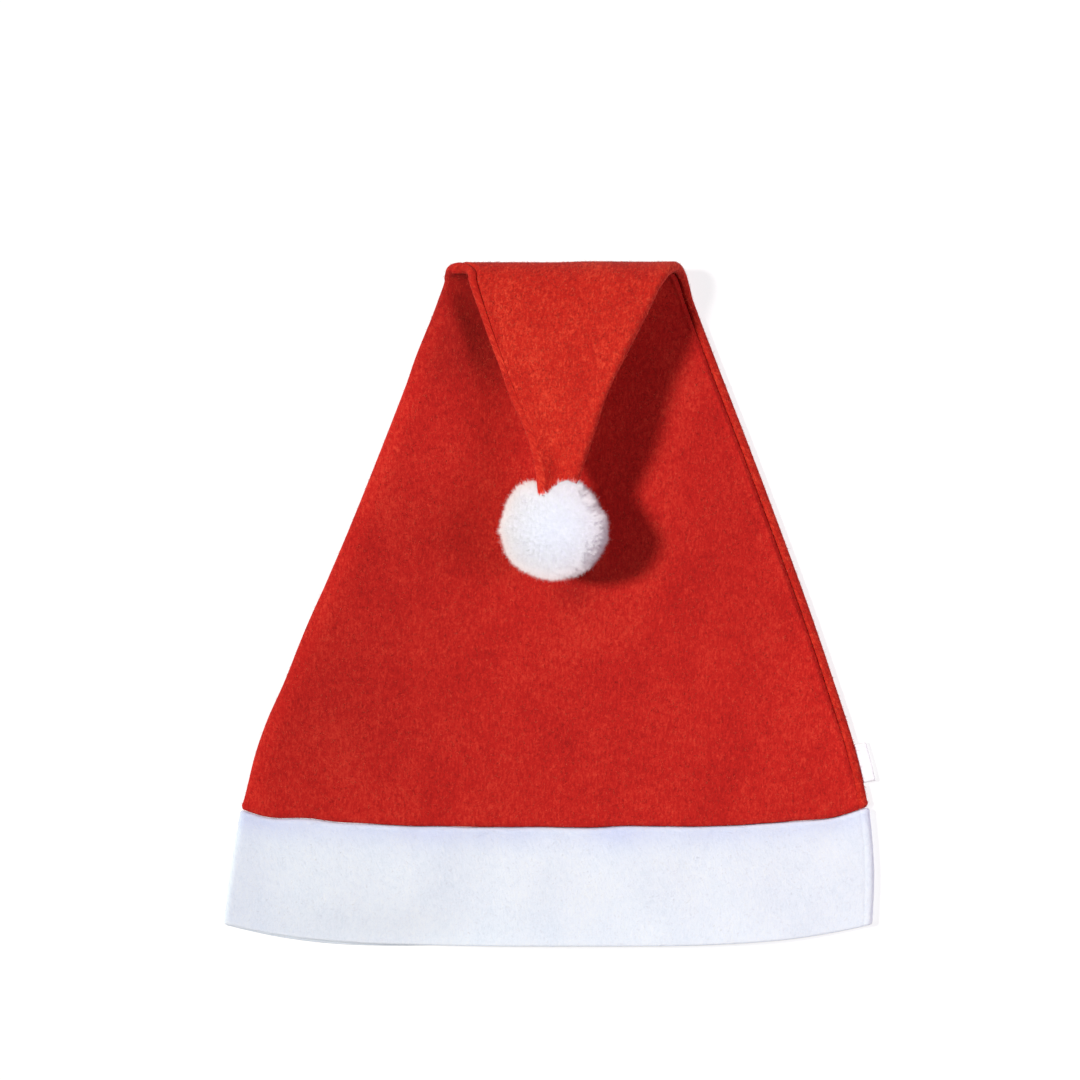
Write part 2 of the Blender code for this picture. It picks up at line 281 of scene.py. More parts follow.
def section_at(distance):
    """The section's numbers at an array of distances from the rim."""
    index = np.clip(np.searchsorted(FROM_RIM, distance, side="right") - 1, 0, len(ROWS) - 2)
    span = (FROM_RIM[index + 1] - FROM_RIM[index])[..., None]
    share = (distance[..., None] - FROM_RIM[index][..., None]) / span
    square, cube = share**2, share**3
    return (
        ROWS[index] * (2 * cube - 3 * square + 1)
        + SLOPES[index] * span * (cube - 2 * square + share)
        + ROWS[index + 1] * (3 * square - 2 * cube)
        + SLOPES[index + 1] * span * (cube - square)
    )


print("From the rim to the tip:", round(TIP_END / MM), "mm; the band:", round(BAND_TOP / MM))

# %% [markdown]
# ## Places on the felt
# Every place is named by its distance from the rim and by how far across it lies, from -1 at the
# left edge to 1 at the right one. A place has a point in the middle of the felt and a direction to
# the inside of the hat. All of these work on whole arrays at once, which is what makes a fine
# surface quick to build.

# %% Back layer, front layer and the turned edges
def back_middle(distance, across):
    row = section_at(distance)
    left, right = row[..., 0:3], row[..., 3:6]
    point = left + (right - left) * ((across + 1) / 2)[..., None]
    point[..., 1] -= row[..., 6] * (1 - across**4)
    point[..., 2] -= row[..., 8] * np.cos(across * math.pi / 2) ** 2
    point[..., 2] = np.maximum(point[..., 2], CROWN_FELT / 2)
    return point


def unit(vectors):
    return vectors / np.maximum(np.linalg.norm(vectors, axis=-1, keepdims=True), 1e-12)


def sheet_directions(distance, across):
    """Unit vectors across the felt, and from the back layer towards the front one."""
    sideways = back_middle(distance, across + 0.01) - back_middle(distance, across - 0.01)
    lengthways = back_middle(distance + 0.5 * MM, across) - back_middle(distance - 0.5 * MM, across)
    return unit(sideways), unit(np.cross(sideways, lengthways))


def back_layer(distance, across):
    return back_middle(distance, across), sheet_directions(distance, across)[1]


def front_layer(distance, across):
    air = section_at(distance)[..., 7] * (1 - across**4) ** 2
    towards_front = sheet_directions(distance, across)[1]
    apart = towards_front * (2 * EDGE_ROLL + air)[..., None]
    return back_middle(distance, across) + apart, -towards_front


def turned_edge(distance, side, degrees):
    """Round one long edge, from the back layer at 0 degrees to the front one at 180."""
    distance, turn = np.broadcast_arrays(distance, np.radians(degrees))
    edge = np.full(distance.shape, float(side))
    sideways, towards_front = sheet_directions(distance, edge)
    outward = sideways * side * np.sin(turn)[..., None] - towards_front * np.cos(turn)[..., None]
    centre = back_middle(distance, edge) + towards_front * EDGE_ROLL
    return centre + outward * EDGE_ROLL, -outward


def half_width(distance):
    row = section_at(distance)
    return np.linalg.norm(row[..., 3:6] - row[..., 0:3], axis=-1) / 2


# %% [markdown]
# ## From a surface to a sheet of felt
# Felt is a thick cloth with soft cut edges. A Solidify modifier gives square edges and a Bevel on
# top of it gets slow and untidy, so the two faces are laid out directly: the middle surface is
# offset to both sides, and the thickness runs out in a half circle at each edge. The two faces are
# then joined round the rim into one closed mesh.

# %% Bumps and ripples
def bell(value, middle, width):
    """1 at the middle, and falling softly to 0 on both sides."""
    return np.exp(-(((value - middle) / width) ** 2))


def ripples(points, wavelength, seed, waves=14):
    """A smooth random height at each point, mostly between -1 and 1, as a sum of plane waves."""
    random = np.random.default_rng(seed)
    total = np.zeros(points.shape[:-1])
    for _ in range(waves):
        direction = unit(random.normal(size=3))
        length = wavelength * random.uniform(0.7, 1.5)
        start = random.uniform(0, 2 * math.pi)
        total += np.sin(points @ direction * (2 * math.pi / length) + start)
    return total / math.sqrt(waves)


# %% Edges and closed sheets
LEAST_SHARE = 0.0015            # keeps the two faces of a sheet apart at its very edge


def edge_share(depth, radius):
    """Share of the felt's thickness at a depth in from a cut edge that is rounded off."""
    inside = 1 - np.clip(depth / radius, 0, 1)
    return np.sqrt(np.clip(1 - inside**2, LEAST_SHARE, 1))


def edge_steps(radius):
    """Distances in from a rounded edge, closest together where it turns most."""
    return radius * (1 - np.cos(np.radians((0, 20, 40, 60, 78))))


def keep_in_mesh(mesh, name, values):
    """Keeps a number or a vector for each point of a mesh, for its material to read."""
    kind, field = ("FLOAT", "value") if values.ndim == 1 else ("FLOAT_VECTOR", "vector")
    layer = mesh.attributes.new(name, kind, "POINT")
    layer.data.foreach_set(field, values.astype(np.float32).ravel())


def closed_sheet(name, middle, inward, half_thickness, material, felt_place, ring=False):
    """A closed mesh round a grid of points in the middle of the felt."""
    rows, columns = middle.shape[:2]
    offset = inward * half_thickness[..., None]
    points = np.concatenate([(middle - offset).reshape(-1, 3), (middle + offset).reshape(-1, 3)])
    index = np.arange(rows * columns).reshape(rows, columns)
    if ring:
        index = np.concatenate([index, index[:, :1]], axis=1)
    outer = np.stack([index[:-1, :-1], index[:-1, 1:], index[1:, 1:], index[1:, :-1]], -1)
    outer = outer.reshape(-1, 4)
    inner = outer[:, ::-1] + rows * columns
    borders = [index[0], index[-1, ::-1]]
    if not ring:
        borders += [index[::-1, 0], index[:, -1]]
    strips = [
        np.stack([line[1:], line[:-1], line[:-1] + rows * columns, line[1:] + rows * columns], -1)
        for line in borders
    ]
    faces = np.concatenate([outer, inner, *strips])
    corner = points[faces]
    volume = (corner[:, 0] * np.cross(corner[:, 1], corner[:, 2])).sum()
    volume += (corner[:, 0] * np.cross(corner[:, 2], corner[:, 3])).sum()
    if volume < 0:
        faces = faces[:, ::-1]
    mesh = bpy.data.meshes.new(name)
    mesh.from_pydata(points.tolist(), [], faces.tolist())
    mesh.shade_smooth()
    mesh.materials.append(material)
    keep_in_mesh(mesh, "felt_place", np.concatenate([felt_place.reshape(-1, 3)] * 2))
    print(name, "has", 2 * len(faces), "triangles")
    return add_object(name, mesh)


CLOTH_APART = 0.4               # metres between pieces in the pattern, so that no two look alike


def place_on_felt(middle, distance, start, piece_number):
    """Where each point lies on the flat cloth: across it from its middle column, and along it."""
    step = np.linalg.norm(np.diff(middle, axis=1), axis=-1)
    across = np.concatenate([np.zeros((len(middle), 1)), np.cumsum(step, axis=1)], axis=1)
    across -= across[:, start:start + 1]
    along = np.broadcast_to(distance, across.shape)
    return np.stack([across, along, np.full(across.shape, piece_number * CLOTH_APART)], axis=-1)


# %% [markdown]
# ## Red felt
# The crown is needle-punched polyester felt: a mat of short fibres, tangled by barbed needles and
# not woven. It has no shine. What the eye sees is a fine speckle where single fibres catch the
# light, drawn out a little along the roll, over cloudy patches a few centimetres wide where the mat
# is thinner. The back panel, which shows on the folded tip, has brighter flecks, like a face that
# was brushed more. Shade and light are also painted in: each point of a piece keeps an amount, and
# the material mixes a darker tone in, or lightens the felt where the amount is below 0.

# %% Felt material
FIBRE_CLUMP = 0.5 * MM          # width of the smallest clump of fibres that the picture can show
STREAK_LENGTH = 1.7 * MM        # how far a clump is drawn out along the roll
TUFT = 3.2 * MM                 # patches that the needles or the brush pulled up
CLOUD = 17 * MM                 # thinner and thicker patches of the mat
FIBRE_RELIEF = 0.35 * MM        # how far the clumps stand up
LIGHT_REACH = 2.5 * MM          # how far light goes through white felt
RAMP_ENDS = (0.12, 0.88)        # where the pattern reaches its darkest and its brightest colour


def felt_material(name, dark, middle, bright, speckle, bump, sheen, sheen_tint, translucent=0.0,
                  painted_shade="#D8C4C4"):
    """Needle-punched felt. speckle is how strongly the clumps differ in colour, and the last tone
    is the one that painted shade is multiplied by. It is matte, so its gloss is low and its
    roughness high."""
    material, tree = new_material(name)
    place = add_node(tree, "Attribute", {"attribute_name": "felt_place"}).outputs["Vector"]

    # width, length, detail, roughness and swirl of a pattern, and how far it shifts the shade
    layers = (
        (2 * FIBRE_CLUMP, 2 * STREAK_LENGTH, 2.0, 0.6, 0.0, speckle),
        (2.6 * FIBRE_CLUMP, 3.4 * FIBRE_CLUMP, 3.0, 0.65, 1.6, 1.6 * speckle),
        (TUFT, 1.3 * TUFT, 2.0, 0.5, 0.8, 0.4 * speckle),
        (CLOUD, 1.6 * CLOUD, 3.0, 0.55, 0.0, 0.5),
    )
    patterns = []
    shade = 0.5 - 0.5 * sum(layer[-1] for layer in layers)
    for width, length, detail, roughness, swirl, amount in layers:
        scaled = add_node(tree, "VectorMath", {"operation": "MULTIPLY"},
                          _0=place, _1=(1 / width, 1 / length, 1 / width))
        noise = add_node(tree, "TexNoise", Vector=scaled.outputs[0], Scale=1.0, Detail=detail,
                         Roughness=roughness, Distortion=swirl)
        patterns.append(noise.outputs[0])
        shade = add_node(tree, "Math", {"operation": "MULTIPLY_ADD"},
                         _0=noise.outputs[0], _1=amount, _2=shade).outputs[0]
    ramp = add_node(tree, "ValToRGB", Fac=shade)
    stops = ramp.color_ramp.elements
    stops[0].position, stops[0].color = RAMP_ENDS[0], linear(dark)
    stops[1].position, stops[1].color = RAMP_ENDS[1], linear(bright)
    stops.new(0.5).color = linear(middle)
    # Painted shade and painted light: each point's stored amount mixes the felt's colour with a
    # darker tone, and lightens it where the amount is below 0.
    painted_amount = add_node(tree, "Attribute", {"attribute_name": "painted_shading"}).outputs["Fac"]
    darken = {"data_type": "RGBA", "blend_type": "MULTIPLY", "clamp_factor": False}
    with_painted_shading = add_node(tree, "Mix", darken, _0=painted_amount, _6=ramp.outputs[0], _7=linear(painted_shade))
    fibres = add_node(tree, "Math", {"operation": "ADD"}, _0=patterns[0], _1=patterns[1])
    relief = add_node(tree, "Bump", Strength=bump, Distance=FIBRE_RELIEF, Height=fibres.outputs[0])
    shader = add_node(tree, "BsdfPrincipled", Base_Color=with_painted_shading.outputs[2], Roughness=0.95,
                      IOR=1.45, Normal=relief.outputs[0], Sheen_Weight=sheen, Sheen_Roughness=0.6,
                      Sheen_Tint=linear(sheen_tint), Subsurface_Weight=translucent,
                      Subsurface_Radius=(1, 1, 1), Subsurface_Scale=LIGHT_REACH)
    shader.inputs["Specular IOR Level"].default_value = 0.3
    add_node(tree, "OutputMaterial", Surface=shader.outputs[0])
    return material


red_felt = felt_material(
    "red_needle_felt", "#9C0F0C", "#BC1B14", "#D63A28", 0.72, 0.4, 0.03, "#FF9A90")
brushed_red_felt = felt_material(
    "brushed_red_needle_felt", "#A2110C", "#C02012", "#E6482E", 0.72, 0.45, 0.03, "#FF9A90")

# %% [markdown]
# ## The two panels of the crown
# Each panel runs from one seam to the other: it starts just round the corner of the hat, turns over
# the long edge and crosses to the far side. Both panels sink into the groove where they are sewn,
# and the stitches draw the felt in a little unevenly. The edge that is sewn to the band does the
# same. Everything is laid out as a grid of distances and columns, and then closed.

# %% Seams
SEAM_FROM_ROLL = 1.6 * MM
SEAM_LEAST = 1.1 * MM
SEAM_FULL_WIDTH = 8.0 * MM
SEAM_GAP = 0.10 * MM            # half of what is left between two sewn edges
SEAM_DIP = 0.85 * MM            # how far the felt sinks into the groove of the right seam
SOFT_DIP = 0.45 * MM            # and of the left one, which lies softer
JOINT_DIP = 0.65 * MM           # and at the joint of the crown and the band
SEAM_REACH = 2.2 * MM           # how far from the groove it starts to sink
SHARP_EDGE = 0.4 * MM           # rounding of the sewn edges of the left seam
SEAM_RIDGE = (1.9 * MM, 0.8 * MM, 0.5)      # past the groove: how far, how wide, share of the dip
STITCH = (3.4 * MM, 0.22)       # length of a stitch, coarser than real, and how hard it pulls
SLACK = (9.1 * MM, 0.15)        # the same for a stretch of looser and tighter thread
ROW_STEP = 1.5 * MM
FAR_COLUMNS = 46
JOINT_WAVE = 0.35 * MM          # how far the joint with the band wanders from an even curve
JOINT_SAGS = ((-122, 11, 1.9), (118, 20, 1.2))      # where it sags: x, width and depth in mm


def wander(middle, distance):
    """Moves a layer along the felt near the band's seam, which isn't sewn quite straight."""
    level = middle * (1, 0, 1)
    shift = JOINT_WAVE * (ripples(level, 34 * MM, 5) + 0.6 * ripples(level, 13 * MM, 6))
    for x, width, depth in JOINT_SAGS:
        shift -= depth * MM * bell(middle[..., 0] / MM, x, width)
    shift *= np.exp(-np.abs(distance - BAND_TOP) / (7 * MM))
    return middle + unit(np.gradient(middle, axis=0)) * shift[..., None]


def seam_dip(depth, distance, dip=SEAM_DIP):
    """How far the felt has sunk at a depth in from its sewn edge, past a low ridge."""
    share = np.clip(1 - depth / SEAM_REACH, 0, 1)
    at, width, height = SEAM_RIDGE
    ridge = height * bell(depth, at, width)
    waves = (STITCH, SLACK)
    stitches, slack = (pull * np.sin(distance * 2 * math.pi / step) for step, pull in waves)
    return dip * (share**2 - ridge) * (1 + stitches + slack)


def left_seam_shows(distance):
    """1 where the left seam shows, fading to 0 towards the pompom."""
    return np.clip((TIP_END - 35 * MM - distance) / (50 * MM), 0, 1)


def graded(start, end, first):
    """Distances from start to end that begin as first lists them and end a row step apart."""
    rest = start + first[-1]
    even = np.linspace(rest, end, int((end - rest) / ROW_STEP))
    return np.concatenate([start + first[:-1], even])


# %% [markdown]
# ## Waves, a hollow and painted shade
# Cloth that was folded doesn't lie flat again at once. Slow waves cross the front,
# small puckers follow the joint with the band, and the fold pulls a hollow along the left of the
# tip. Sums of sine waves make the waves, since they are smooth and the same each time. Shade is
# painted on the front next to the tip and under the pompom, darker at the left of the front, and
# light is painted at its right and along its left edge.

# %% Ripples of the lying cloth
WAVES = ((52, 0.34, 11), (21, 0.13, 12))        # length and height in mm, seed
PUCKERS = (14, 0.30, 13)                        # the same along the joint with the band
PUCKER_REACH = 9 * MM


def ripple_cloth(middle, inward, distance, front):
    """Moves a layer in and out a little. front is 1 on the front layer and the tip, which are
    free to rise, and 0 where the felt lies on the table."""
    wide = sum(high * MM * ripples(middle, long * MM, seed) for long, high, seed in WAVES)
    long, high, seed = PUCKERS
    near_band = np.exp(-np.abs(distance - BAND_TOP) / PUCKER_REACH)
    pucker = high * MM * near_band * ripples(middle * (1, 0.25, 1), long * MM, seed)
    return middle - inward * ((wide + pucker) * front)[..., None]


# Below, x and y are in mm, from above, and beside is how far right of the tip's left edge
TIP_LEFT_EDGE = ((98, 122, 140, 148), (-21, -29.5, -36, -39))       # y, x
HOLLOW_ALONG = ((84, 106, 118, 127, 146), (0, 0.6, 1, 1, 0))        # y, share of the depth
HOLLOW_DEPTH = 3.0
SWELL_HEIGHT = 2.2


def seen_from_above(middle):
    x, y = middle[..., 0] / MM, middle[..., 1] / MM
    return x, y, x - np.interp(y, *TIP_LEFT_EDGE)


def hollow_beside_tip(middle):
    """How far the front of the crown sinks along the left edge of the folded tip, where the fold
    pulls it down, and swells next to the hat's own edge. That hollow turns away from the lamp."""
    _, y, beside = seen_from_above(middle)
    slope = np.clip((beside + 10) / 16, 0, 1)
    sink = slope**2 * (3 - 2 * slope)
    sink = sink * np.clip((36 - beside) / 24, 0, 1)
    swell = bell(beside, -12, 5)
    return (HOLLOW_DEPTH * sink - SWELL_HEIGHT * swell) * np.interp(y, *HOLLOW_ALONG) * MM


# Painted shade next to the tip, where the raised tip keeps light off the felt: beside and strength,
# then y and strength
PAINTED_SHADE_ACROSS = ((-40, -20, -10, 0, 12), (0.35, 0.75, 0.95, 1.1, 0.3))
PAINTED_SHADE_ALONG = ((78, 92, 106, 125, 148), (0, 0.15, 0.95, 1.05, 1.2))
UNDER_THE_TIP = 12              # from here on the tip hides it
# Other patches of painted shade and light: x, y, radius and strength. The first two darken the left
# of the front, the third, below 0, lightens its right, and the last is a painted shadow under the
# pompom.
PAINTED_SHADING_PATCHES = ((-92, -48, 42, 0.45), (-62, 20, 40, 0.30), (120, -52, 45, -0.25), (11, 6, 9, 0.9))
PAINTED_LIGHT_AT_LEFT_EDGE = 0.55           # painted light along the left edge, where the felt turns over towards the lamp


def painted_shading(middle):
    """How much painted shade the front of the body takes: 0 is none, 1 is full, and below 0 it is
    painted light.
    """
    x, y, beside = seen_from_above(middle)
    painted_shade = np.interp(beside, *PAINTED_SHADE_ACROSS) * np.interp(y, *PAINTED_SHADE_ALONG)
    painted_shade = painted_shade * (beside < UNDER_THE_TIP)
    for x0, y0, radius, strength in PAINTED_SHADING_PATCHES:
        painted_shade = painted_shade + strength * bell(x, x0, radius) * bell(y, y0, radius)
    from_edge = x - x.min(axis=1, keepdims=True)
    return painted_shade - PAINTED_LIGHT_AT_LEFT_EDGE * bell(from_edge, 3, 3.5)


def store_painted_shading(piece, painted_amount):
    """Keeps the amount of painted shade and light, for the outer and the inner face alike."""
    keep_in_mesh(piece.data, "painted_shading", np.tile(painted_amount.ravel(), 2))


def on_table(middle, half_thickness):
    """Keeps the felt from sinking into the table."""
    middle[..., 2] = np.maximum(middle[..., 2], half_thickness)
    return middle


# %% [markdown]
# ## Laying out a panel
# A panel's grid has a row for each distance from the rim. Its columns lie close together at the
# seams and round the long edge, where the felt turns, and wide apart in between.

# %% Grid of a panel
FRONT_SIDE, BACK_SIDE = -1, 1
EDGE_TURNS = np.arange(0.0, 181, 15)[None, :]       # degrees round a long edge
FINE_ROWS = (1.0 * MM, 1.5 * MM, 2.2 * MM, 3.2 * MM)


def panel_grid(side):
    """Points, directions, depths from the sewn edges and distances of a panel."""
    hem = BAND_TOP + SEAM_GAP
    radius = CROWN_FELT / 2
    rows = graded(hem, TIP_END - radius, np.concatenate([edge_steps(radius), FINE_ROWS]))
    rows = np.concatenate([rows, TIP_END - edge_steps(radius)[::-1]])
    distance = rows[:, None]
    scale = np.minimum(1, half_width(distance) / SEAM_FULL_WIDTH)
    seam = np.maximum(SEAM_FROM_ROLL * scale, SEAM_LEAST)
    width = half_width(distance)
    near, far = (back_layer, front_layer) if side < 0 else (front_layer, back_layer)
    turns = EDGE_TURNS if side < 0 else EDGE_TURNS[:, ::-1]
    left_gap = SEAM_GAP * (0.1 + 0.9 * left_seam_shows(distance))
    right_gap = SEAM_GAP * (0.15 + 0.65 * np.clip((distance - hem - 12 * MM) / (30 * MM), 0, 1))
    near_gap, end_gap = (left_gap, right_gap) if side < 0 else (right_gap, left_gap)
    steps = edge_steps(radius)
    near_depth = np.concatenate([steps / radius * 0.7, [0.9]])[None, :] * (seam - near_gap)
    near_across = side * (1 - (seam - near_gap - near_depth) / width)
    reach = SEAM_REACH * scale
    end_depth = np.concatenate([np.linspace(1, 0.42, 6), steps[::-1] / reach.max()])
    end_depth = end_depth[None, :] * reach
    end_across = -side * (1 - (seam + end_gap + end_depth) / width)
    share = (np.linspace(0, 1, FAR_COLUMNS + 2)[1:-1] - 0.5)[None, :]
    share = 0.5 + share * (1 + 0.35 * (1 - 4 * share**2))
    far_across = side + (end_across[:, :1] - side) * share
    parts = [layer(distance + 0 * across, across) for layer, across in (
        (near, near_across), (far, far_across), (far, end_across))]
    parts.insert(1, turned_edge(distance, side, turns))
    middle, inward = (np.concatenate([part[k] for part in parts], axis=1) for k in (0, 1))
    near_deep, end_deep = np.full((2, *middle.shape[:2]), 1.0)
    near_deep[:, :near_depth.shape[1]] = near_depth
    end_deep[:, -end_depth.shape[1]:] = end_depth
    columns = near_depth.shape[1] + turns.shape[1] + FAR_COLUMNS // 2
    return middle, inward, near_deep, end_deep, rows, columns


# %% Make a panel
def make_panel(name, side, material, number, tip_material=None):
    """One panel of the crown. Where tip_material is given, it is the finish from the fold on."""
    middle, inward, near_deep, end_deep, rows, centre_column = panel_grid(side)
    left_deep, right_deep = (near_deep, end_deep) if side < 0 else (end_deep, near_deep)
    deep = np.minimum(left_deep, right_deep)
    distance = np.broadcast_to(rows[:, None], deep.shape)
    hem_depth = distance - rows[0]
    fading = left_seam_shows(distance)
    starting = 0.12 + 0.68 * np.clip((hem_depth - 6 * MM) / (30 * MM), 0, 1)
    dip = seam_dip(right_deep, distance) * starting
    dip = dip + seam_dip(left_deep, distance, SOFT_DIP) * fading
    dip += seam_dip(hem_depth, middle[..., 0], JOINT_DIP)
    left_edge = 1 - (1 - edge_share(left_deep, SHARP_EDGE)) * (0.05 + 0.45 * fading)
    right_edge = 1 - (1 - edge_share(right_deep, CROWN_FELT / 2)) * starting
    thickness = CROWN_FELT / 2 * left_edge * right_edge
    thickness *= edge_share(hem_depth, CROWN_FELT / 2)
    thickness *= edge_share(rows[-1] - distance, CROWN_FELT / 2)
    raised = np.clip((distance - FOLD_START) / (FOLD_END - FOLD_START), 0, 1)
    upper = inward[..., 2] < 0
    front = np.maximum(np.where((side < 0) & upper, 1.0, 0.0), raised)
    front = front * np.clip(deep / SEAM_REACH, 0, 1)
    front *= np.clip((TIP_END - distance) / (30 * MM), 0.15, 1)
    middle = wander(middle, distance)
    middle = ripple_cloth(middle, inward, distance, front) + inward * dip[..., None]
    if side == FRONT_SIDE:
        facing_up = np.clip(-inward[..., 2], 0, 1)
        facing_up = facing_up * np.clip((FOLD_START - distance) / (6 * MM), 0, 1)
        middle[..., 2] -= facing_up * hollow_beside_tip(middle)
    middle = on_table(middle, thickness)
    places = place_on_felt(middle, distance, centre_column, number)
    piece = closed_sheet(name, middle, inward, thickness, material, places)
    half_round = (FOLD_START + FOLD_END) / 2
    if side == FRONT_SIDE:
        # The front of the body, up to the middle of the fold, takes painted shade and painted
        # light.
        on_body = upper & (distance < half_round)
        store_painted_shading(piece, np.where(on_body, painted_shading(middle), 0))
    if tip_material is not None:
        piece.data.materials.append(tip_material)
        corners = np.zeros(len(piece.data.loops), np.int32)
        piece.data.loops.foreach_get("vertex_index", corners)
        row = corners[::4] % deep.size // deep.shape[1]
        on_tip = rows[row] > half_round
        piece.data.polygons.foreach_set("material_index", on_tip.astype(np.int32))
    return piece


crown_front = make_panel("crown_front_felt", FRONT_SIDE, red_felt, 1, brushed_red_felt)
crown_back = make_panel("crown_back_felt", BACK_SIDE, brushed_red_felt, 2)
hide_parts("crown_front")
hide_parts("crown_back")

# %% [markdown]
# ## The white band
# The band is a ring of thicker, brushed polyester felt. It has one seam of its own, near the right
# edge, and its lower edge is cut and left bare. The back of the ring is a little longer than the
# front at the left, so a thin second line shows under the rim. A little light goes through white
# felt, which softens it. Along the joint, and towards the left end, a faint lavender shade is
# painted in.

# %% White felt
# Its last tone, a faint lavender, is the painted shade along the joint.
white_felt = felt_material(
    "white_brushed_felt", "#DCE8F4", "#E9F3FF", "#F2FAFF", 0.5, 0.3, 0.10, "#FFFFFF",
    translucent=0.6, painted_shade="#E4E4FA")

# %% Make the band
BACK_RIM_SHOWS = 1.5 * MM
RIM_LIES_FOR = 15 * MM          # at the left the front of the rim lies down on the back of it
RIM_LIES_BY = 0.62              # and takes this share of the way down
RING_COLUMNS = 60
BAND_SEAM_PULL = 0.12 * MM
BAND_SEAM_COLUMNS = (-2.2, -1.5, -0.9, -0.5, -0.2, 0.0, 0.2, 0.5, 0.9, 1.5, 2.2)
BAND_HALF_WIDTH = 143 * MM
PAINTED_SHADE_UNDER_JOINT = 9 * MM        # how far under the joint the painted shade reaches


def make_band(name, material):
    """The white ring: one grid round the back, the right edge, the front and the left edge."""
    hem = BAND_TOP - SEAM_GAP
    radius = BAND_FELT / 2
    rim = np.concatenate([edge_steps(radius), (1.3 * MM, 1.8 * MM)])
    top = np.concatenate([edge_steps(radius), (1.2 * MM, 1.6 * MM, 2.2 * MM, 3.0 * MM)])
    rows = np.concatenate([rim, np.linspace(2.6 * MM, hem - 3.6 * MM, 30), hem - top[::-1]])
    distance = rows[:, None]
    seam = SEAM_FROM_ROLL + np.array(BAND_SEAM_COLUMNS) * 0.7 * MM
    seam = seam[seam > 0.15 * MM][None, :]
    width = half_width(distance)
    seam_across = 1 - seam / width
    even = np.linspace(-1, 1, RING_COLUMNS + 2)[None, 1:-1] + 0 * distance
    first_after = 1 - (seam.max() + 1.0 * MM) / width
    front_across = even * (1 + first_after) / 2 - (1 - first_after) / 2
    parts = [
        back_layer(distance + 0 * even, even),
        turned_edge(distance, 1, EDGE_TURNS),
        front_layer(distance + 0 * seam_across, seam_across),
        front_layer(distance + 0 * even, front_across[:, ::-1]),
        turned_edge(distance, -1, EDGE_TURNS[:, ::-1]),
    ]
    middle, inward = (np.concatenate([part[k] for part in parts], axis=1) for k in (0, 1))
    shape = middle.shape[:2]
    start = even.shape[1] + EDGE_TURNS.shape[1]
    seam_pull = np.zeros(shape)
    pull = BAND_SEAM_PULL * bell(seam, SEAM_FROM_ROLL, 0.6 * MM)
    seam_pull[:, start:start + seam.shape[1]] = pull
    distance = np.broadcast_to(distance, shape)
    thickness = BAND_FELT / 2 * edge_share(distance, radius) * edge_share(hem - distance, radius)
    dip = seam_dip(hem - distance, middle[..., 0], 0.5 * JOINT_DIP) + seam_pull
    from_ends = np.clip((1 - np.abs(middle[..., 0]) / BAND_HALF_WIDTH) * 9, 0, 1)
    front = np.where(inward[..., 2] < 0, 1.0, 0.0) * from_ends
    middle = wander(middle, distance)
    lower = np.where(inward[..., 2] > 0.3, bell(middle[..., 0] / MM, -95, 45), 0.0)
    middle[..., 1] -= BACK_RIM_SHOWS * lower * np.clip(1 - distance / (6 * MM), 0, 1)
    middle = ripple_cloth(middle, inward, distance, front) + inward * dip[..., None]
    at_left = np.clip((-15 - middle[..., 0] / MM) / 45, 0, 1)
    near_rim = bell(distance, 0, RIM_LIES_FOR) * at_left
    above = np.clip(middle[..., 2] - 1.25 * BAND_FELT, 0, None) * np.clip(-inward[..., 2], 0, 1)
    middle[..., 2] -= RIM_LIES_BY * near_rim * above
    middle[..., 2] += (BAND_FELT - CROWN_FELT) / 2
    middle = on_table(middle, thickness)
    places = place_on_felt(middle, distance, 0, 3)
    piece = closed_sheet(name, middle, inward, thickness, material, places, ring=True)
    # Painted shade: a faint lavender tone in patches under the joint with the crown, and some
    # towards the left end.
    flat = bell(distance, hem, PAINTED_SHADE_UNDER_JOINT) + 0.25 * bell(middle[..., 0] / MM, -140, 30)
    painted_patches = 0.55 + 0.12 * ripples(middle * (1, 0.4, 1), 40 * MM, 14)
    store_painted_shading(piece, np.clip(flat * painted_patches, 0, 0.8))
    return piece


band = make_band("band_felt", white_felt)
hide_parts("band")

# %% [markdown]
# ## The side label
# A woven satin ribbon, folded in two and caught in the right seam. It is bare. The fold stands out
# to the right, and the two ends go into the seam. Fine threads side by side give satin its soft
# gloss, which a wave pattern with a medium roughness stands for.

# %% Label
ribbon, tree = new_material("white_woven_satin_ribbon")
RIBBON_THREAD = 0.35 * MM       # real threads are 0.15 mm, too fine to show
place = add_node(tree, "Attribute", {"attribute_name": "felt_place"}).outputs["Vector"]
weave = add_node(tree, "TexWave", {"wave_type": "BANDS", "bands_direction": "X"},
                 Vector=place, Scale=1 / RIBBON_THREAD / 20 * 2 * math.pi, Distortion=0.4)
tone = add_node(tree, "ValToRGB", Fac=weave.outputs[1])
tone.color_ramp.elements[0].color = linear("#F4F6F7")
tone.color_ramp.elements[1].color = linear("#FDFEFE")
relief = add_node(tree, "Bump", Strength=0.3, Distance=0.05 * MM, Height=weave.outputs[1])
shader = add_node(tree, "BsdfPrincipled", Base_Color=tone.outputs[0], Roughness=0.42, IOR=1.5,
                  Normal=relief.outputs[0], Sheen_Weight=0.2)
add_node(tree, "OutputMaterial", Surface=shader.outputs[0])

LABEL_LENGTH = 17.0 * MM
LABEL_FROM_RIM = 70.5 * MM
LABEL_REACH = 4.75 * MM         # how far it stands out of the seam
RIBBON_HALF = 0.16 * MM         # half the ribbon's thickness
LABEL_FOLD = 0.36 * MM          # radius of its fold
LABEL_WAVE = 0.18 * MM


